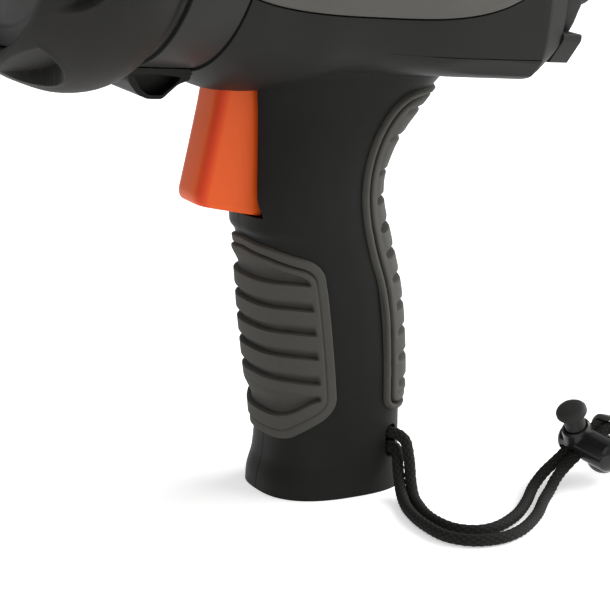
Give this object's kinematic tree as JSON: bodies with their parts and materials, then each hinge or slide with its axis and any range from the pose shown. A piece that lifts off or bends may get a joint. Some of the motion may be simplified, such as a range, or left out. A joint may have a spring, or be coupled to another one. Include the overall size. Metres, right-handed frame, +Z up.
{
  "type": "speed radar gun",
  "caption": "Hand-held speed radar gun: rubber-ringed antenna nose, split housing with pistol grip and trigger, rear display with keys, wrist lanyard.",
  "frame": {"origin": "centre of the grip's flat foot, on the surface it stands on", "axes": "+Z up, nose towards -X, display end towards +X, left side towards -Y"},
  "size_m": [0.2277, 0.12, 0.215],
  "materials": {
    "black_plastic": "fine spark-eroded grain",
    "charcoal_plastic": "satin moulded",
    "bumper_rubber": "soft matt rubber",
    "grip_rubber": "soft matt rubber, fine grain",
    "gray_plastic": "satin moulded",
    "trigger_plastic": "satin orange plastic",
    "steel": "plain zinc plated",
    "metallised_plastic": "thin metal coat over moulded plastic",
    "aluminium": "machined",
    "circuit_board": "green solder mask",
    "window": "polished clear panel",
    "lcd": "blank reflective liquid crystal panel",
    "braided_cord": "black braid",
    "gloss_black": "gloss moulded",
    "cell_wrap": "plain shrink sleeve over a steel can"
  },
  "bodies": {
    "housing": {"left_shell": "black_plastic", "right_shell": "black_plastic", "nose_bumper": "bumper_rubber", "nose_barrel": "charcoal_plastic", "nose_seal": "black_plastic", "radome": "charcoal_plastic", "antenna_horn": "metallised_plastic", "antenna_plate": "aluminium", "antenna_screw_1": "steel", "antenna_screw_2": "steel", "antenna_screw_3": "steel", "radar_module": "aluminium", "nose_clip": "black_plastic", "side_panel_left": "gray_plastic", "side_panel_right": "gray_plastic", "rear_bezel": "charcoal_plastic", "display_frame": "black_plastic", "display_window": "window", "lcd_panel": "lcd", "display_board": "circuit_board", "trigger_pin": "steel", "trigger_bracket": "aluminium", "trigger_switch": "black_plastic", "trigger_spring": "steel", "main_board": "circuit_board", "buzzer": "black_plastic", "grip_pad_front": "grip_rubber", "grip_pad_rear": "grip_rubber", "battery_lower": "cell_wrap", "battery_upper": "cell_wrap", "battery_contact_top": "steel", "door_hinge_pin": "steel", "case_screw_1": "steel", "case_screw_2": "steel", "case_screw_3": "steel", "case_screw_4": "steel", "lanyard_pin": "steel", "lanyard_cord": "braided_cord", "cord_lock_body": "gloss_black", "cord_lock_spring": "steel", "cord_sleeve": "gray_plastic"},
    "trigger": {"trigger": "trigger_plastic"},
    "switch_plunger": {"switch_plunger": "trigger_plastic"},
    "key_power": {"key_power": "grip_rubber"},
    "key_mode": {"key_mode": "grip_rubber"},
    "key_units": {"key_units": "grip_rubber"},
    "key_light": {"key_light": "grip_rubber"},
    "battery_door": {"battery_door": "black_plastic", "battery_contact_door": "steel", "battery_spring": "steel"},
    "door_latch": {"door_latch": "gray_plastic"},
    "lock_button": {"cord_lock_button": "charcoal_plastic"}
  },
  "joints": [
    {"name": "trigger_pull", "type": "hinge", "parent": "housing", "child": "trigger", "pos_m": [-0.025, 0, 0.1128], "axis": [0, -1, 0], "range_deg": [0, 7], "stiffness_Nm_per_rad": 0.6, "springref_deg": -5.73, "deforming": ["trigger_spring"]},
    {"name": "switch_travel", "type": "slide", "parent": "housing", "child": "switch_plunger", "axis": [0, 0, 1], "range_m": [0, 0.002]},
    {"name": "press_power", "type": "slide", "parent": "housing", "child": "key_power", "axis": [-0.9945, 0, 0.1045], "range_m": [0, 0.0008], "stiffness_N_per_m": 1000, "springref_m": -0.0008},
    {"name": "press_mode", "type": "slide", "parent": "housing", "child": "key_mode", "axis": [-0.9945, 0, 0.1045], "range_m": [0, 0.0008], "stiffness_N_per_m": 1000, "springref_m": -0.0008},
    {"name": "press_units", "type": "slide", "parent": "housing", "child": "key_units", "axis": [-0.9945, 0, 0.1045], "range_m": [0, 0.0008], "stiffness_N_per_m": 1000, "springref_m": -0.0008},
    {"name": "press_light", "type": "slide", "parent": "housing", "child": "key_light", "axis": [-0.9945, 0, 0.1045], "range_m": [0, 0.0008], "stiffness_N_per_m": 1000, "springref_m": -0.0008},
    {"name": "door_swing", "type": "hinge", "parent": "housing", "child": "battery_door", "pos_m": [-0.0132, 0, 0.0015], "axis": [0, 1, 0], "range_deg": [0, 95]},
    {"name": "latch_slide", "type": "slide", "parent": "battery_door", "child": "door_latch", "axis": [-1, 0, 0], "range_m": [0, 0.0025]},
    {"name": "lock_press", "type": "slide", "parent": "housing", "child": "lock_button", "axis": [0.4229, 0.236, -0.8749], "range_m": [0, 0.002], "stiffness_N_per_m": 500, "springref_m": -0.002, "deforming": ["cord_lock_spring"]}
  ],
  "couplings": [
    {"joint": "switch_travel", "follows": "trigger_pull", "m_per_rad": 0.012}
  ]
}
